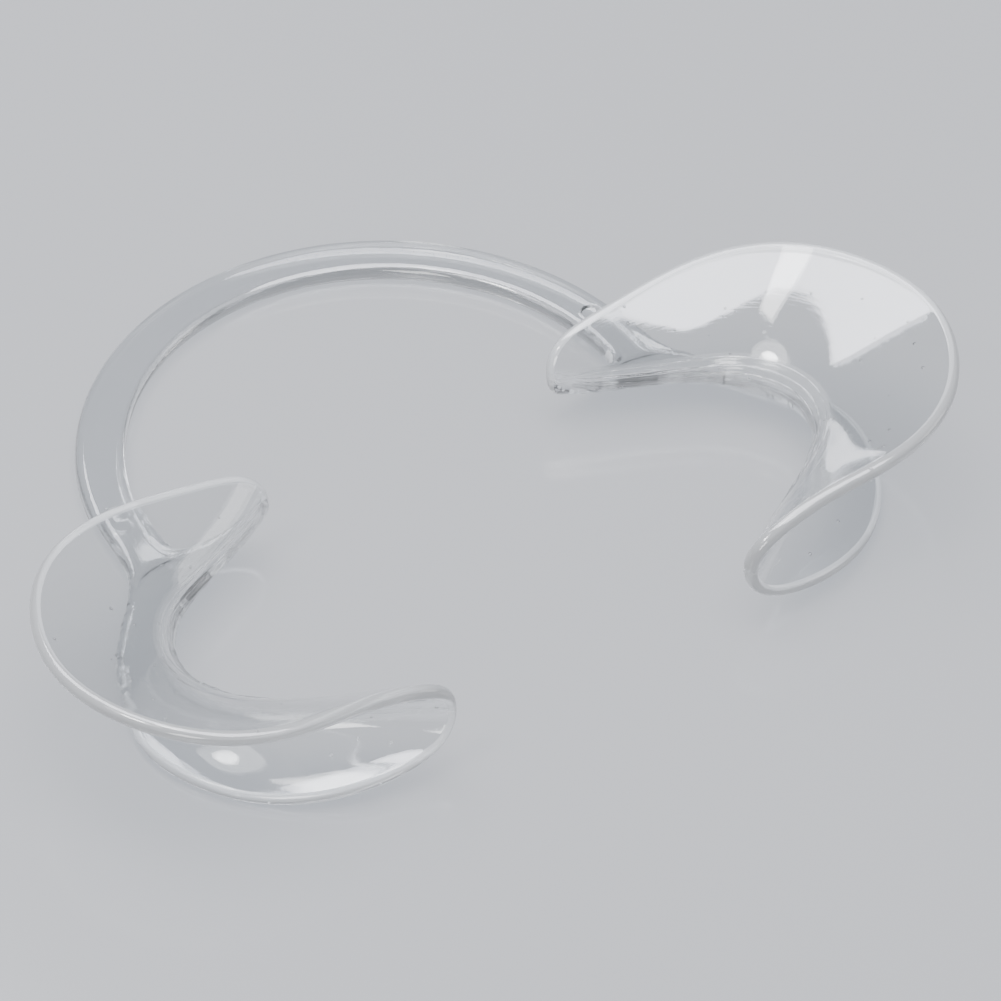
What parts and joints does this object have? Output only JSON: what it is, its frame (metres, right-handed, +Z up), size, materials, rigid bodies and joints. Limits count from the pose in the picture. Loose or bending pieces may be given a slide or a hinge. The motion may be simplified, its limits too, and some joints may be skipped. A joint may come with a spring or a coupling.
{
  "type": "cheek retractor",
  "caption": "Clear plastic bow-type cheek retractor: a flat spring bow with a mirrored, grooved lip holder at each end.",
  "frame": {"origin": "on the table under the middle of the object's outline, in the mirror plane between the two ends", "axes": "+X towards the right end, +Y towards the bow's crown, +Z up from the table it lies on"},
  "size_m": [0.1192, 0.0835, 0.0177],
  "materials": {
    "clear_plastic": "clear, polished, moulded polycarbonate"
  },
  "bodies": {
    "bow": {"bow_crown": "clear_plastic"},
    "right_end": {"bow_arm_right": "clear_plastic", "bow_root_right": "clear_plastic", "web_right": "clear_plastic", "inner_flange_right": "clear_plastic", "outer_flange_right": "clear_plastic", "inner_rim_right": "clear_plastic", "outer_rim_right": "clear_plastic"},
    "left_end": {"bow_arm_left": "clear_plastic", "bow_root_left": "clear_plastic", "web_left": "clear_plastic", "inner_flange_left": "clear_plastic", "outer_flange_left": "clear_plastic", "inner_rim_left": "clear_plastic", "outer_rim_left": "clear_plastic"}
  },
  "joints": [
    {"name": "squeeze_right", "type": "hinge", "parent": "bow", "child": "right_end", "pos_m": [0.02058, 0.03191, 0.0015], "axis": [0, 0, -1], "range_deg": [-3, 9], "stiffness_Nm_per_rad": 2},
    {"name": "squeeze_left", "type": "hinge", "parent": "bow", "child": "left_end", "pos_m": [-0.02058, 0.03191, 0.0015], "axis": [0, 0, 1], "range_deg": [-3, 9], "stiffness_Nm_per_rad": 2}
  ],
  "couplings": [
    {"joint": "squeeze_left", "follows": "squeeze_right", "ratio": 1}
  ]
}
